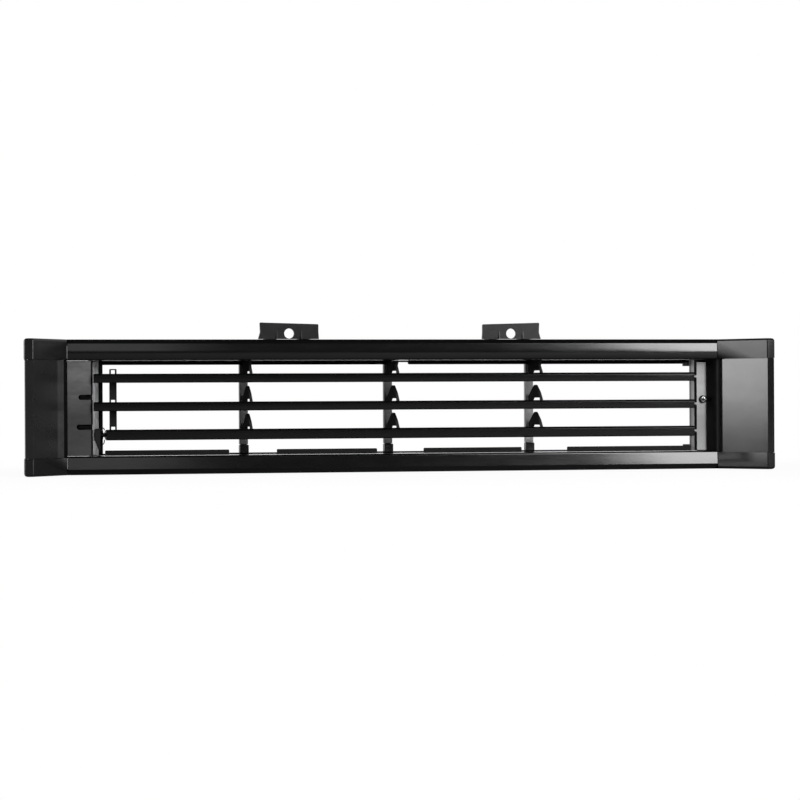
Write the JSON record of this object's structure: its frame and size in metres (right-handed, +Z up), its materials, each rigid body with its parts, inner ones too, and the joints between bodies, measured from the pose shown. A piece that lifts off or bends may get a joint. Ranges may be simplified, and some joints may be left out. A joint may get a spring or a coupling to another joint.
{
  "type": "ventilation grille",
  "caption": "Long black plastic ventilation grille with splayed side wings, tilting horizontal blades joined by a link bar, rear mullions and fixing tabs on top.",
  "frame": {"origin": "centre of the base on the ground plane", "axes": "+X right along the rails, +Y from the front to the back, +Z up"},
  "size_m": [0.6, 0.0948, 0.1189],
  "materials": {
    "gloss_black": "glossy moulded",
    "satin_black": "satin moulded",
    "blade_black": "semi-gloss moulded",
    "bracket_grey": "satin dark grey",
    "seal_black": "matt",
    "pin_steel": "plain",
    "screw_steel": "black zinc"
  },
  "bodies": {
    "frame": {"top_rail": "gloss_black", "bottom_rail": "gloss_black", "upper_left_corner_cap": "gloss_black", "upper_right_corner_cap": "gloss_black", "lower_left_corner_cap": "gloss_black", "lower_right_corner_cap": "gloss_black", "left_side_panel": "gloss_black", "right_side_panel": "gloss_black", "left_fixing_tab": "satin_black", "right_fixing_tab": "satin_black", "left_mullion": "satin_black", "centre_mullion": "satin_black", "right_mullion": "satin_black", "left_mullion_foot": "satin_black", "centre_mullion_foot": "satin_black", "right_mullion_foot": "satin_black", "left_cover_plate": "satin_black", "left_bearing_wall": "bracket_grey", "right_bearing_bracket": "bracket_grey", "lower_seal_strip_1": "seal_black", "lower_seal_strip_2": "seal_black", "lower_seal_strip_3": "seal_black", "lower_seal_strip_4": "seal_black", "upper_seal_strip_1": "seal_black", "upper_seal_strip_2": "seal_black", "upper_seal_strip_3": "seal_black", "upper_seal_strip_4": "seal_black", "left_tab_rivet_a": "screw_steel", "left_tab_rivet_b": "screw_steel", "right_tab_rivet_a": "screw_steel", "right_tab_rivet_b": "screw_steel", "bracket_screw": "screw_steel"},
    "upper_blade_body": {"upper_blade": "blade_black", "upper_blade_pin": "pin_steel"},
    "middle_blade_body": {"middle_blade": "blade_black", "middle_blade_pin": "pin_steel"},
    "lower_blade_body": {"lower_blade": "blade_black", "lower_blade_pin": "pin_steel", "thumb_lever": "satin_black"},
    "link_body": {"link_bar": "satin_black"}
  },
  "joints": [
    {"name": "lower_blade_tilt", "type": "hinge", "parent": "frame", "child": "lower_blade_body", "pos_m": [0, -0.00065, 0.031], "axis": [1, 0, 0], "range_deg": [-40, 40]},
    {"name": "middle_blade_tilt", "type": "hinge", "parent": "frame", "child": "middle_blade_body", "pos_m": [0, -0.00065, 0.05305], "axis": [1, 0, 0], "range_deg": [-40, 40]},
    {"name": "upper_blade_tilt", "type": "hinge", "parent": "frame", "child": "upper_blade_body", "pos_m": [0, -0.00065, 0.0751], "axis": [1, 0, 0], "range_deg": [-40, 40]},
    {"name": "link_pivot", "type": "hinge", "parent": "lower_blade_body", "child": "link_body", "pos_m": [-0.2271, 0.00735, 0.031], "axis": [1, 0, 0], "range_deg": [-40, 40]}
  ],
  "couplings": [
    {"joint": "middle_blade_tilt", "follows": "lower_blade_tilt", "ratio": 1},
    {"joint": "upper_blade_tilt", "follows": "lower_blade_tilt", "ratio": 1},
    {"joint": "link_pivot", "follows": "lower_blade_tilt", "ratio": -1}
  ]
}
